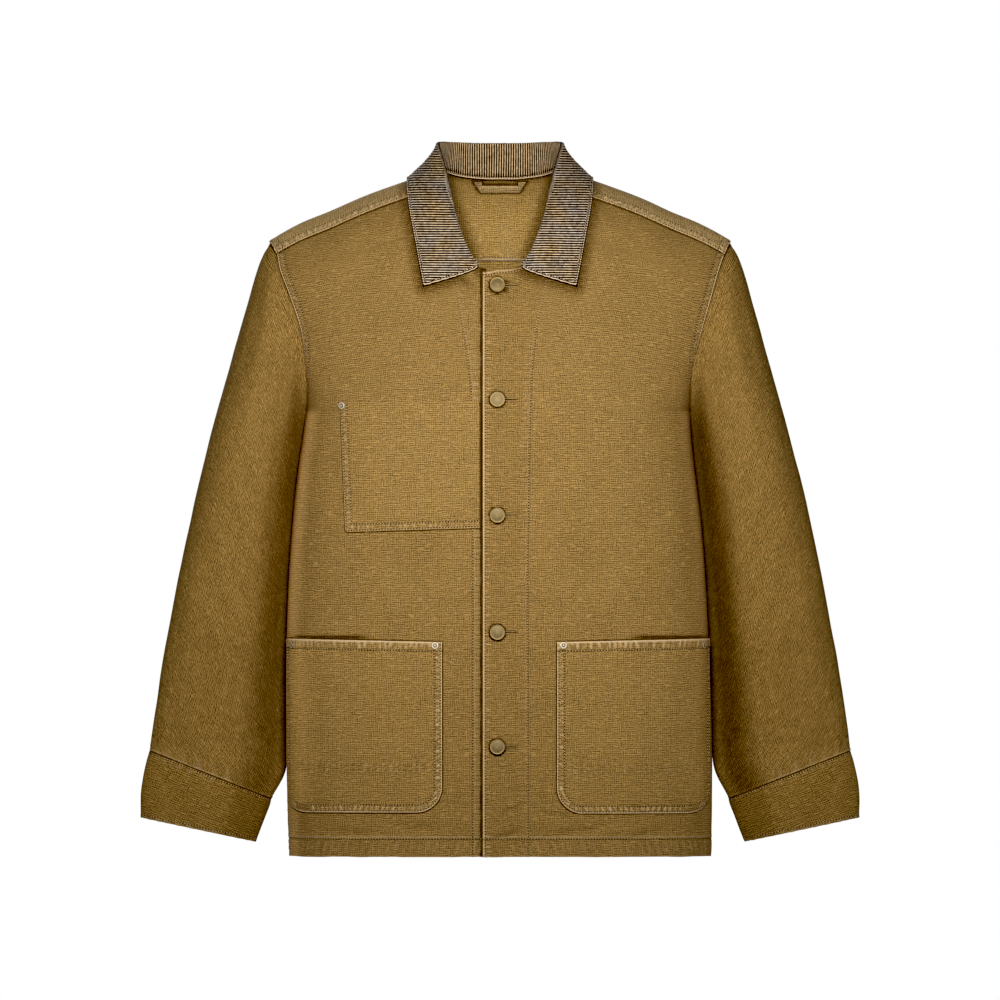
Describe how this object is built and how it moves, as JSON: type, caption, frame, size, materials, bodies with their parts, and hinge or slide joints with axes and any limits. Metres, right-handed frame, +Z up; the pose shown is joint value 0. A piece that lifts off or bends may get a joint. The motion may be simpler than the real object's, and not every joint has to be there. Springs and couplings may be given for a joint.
{
  "type": "chore jacket",
  "caption": "Buttoned canvas chore jacket with a corduroy collar, patch pockets and long cuffed sleeves, filled out and hollow as worn.",
  "frame": {"origin": "centre between the shoulders, level with the back neck seam, where the wearer's shoulders hold the jacket", "axes": "+Z up, the front faces -Y, +X towards the wearer's left"},
  "size_m": [0.768, 0.2139, 0.7642],
  "materials": {
    "canvas": "matte golden brown cotton canvas, plain weave",
    "corduroy": "fine-wale cotton corduroy, soft nap, brown",
    "antique_brass": "antique, brushed and domed",
    "dull_brass": "pale, dull"
  },
  "bodies": {
    "root": {"front_left": "canvas", "front_right": "canvas", "back": "canvas", "yoke": "canvas", "sleeve_left": "canvas", "sleeve_right": "canvas", "cuff_left": "canvas", "cuff_right": "canvas", "collar": "corduroy", "hanger_loop": "canvas", "chest_pocket": "canvas", "pocket_left": "canvas", "pocket_right": "canvas", "button_1": "antique_brass", "button_2": "antique_brass", "button_3": "antique_brass", "button_4": "antique_brass", "button_5": "antique_brass", "rivet_chest": "dull_brass", "rivet_left_inner": "dull_brass", "rivet_left_outer": "dull_brass", "rivet_right_inner": "dull_brass", "rivet_right_outer": "dull_brass"}
  },
  "joints": []
}
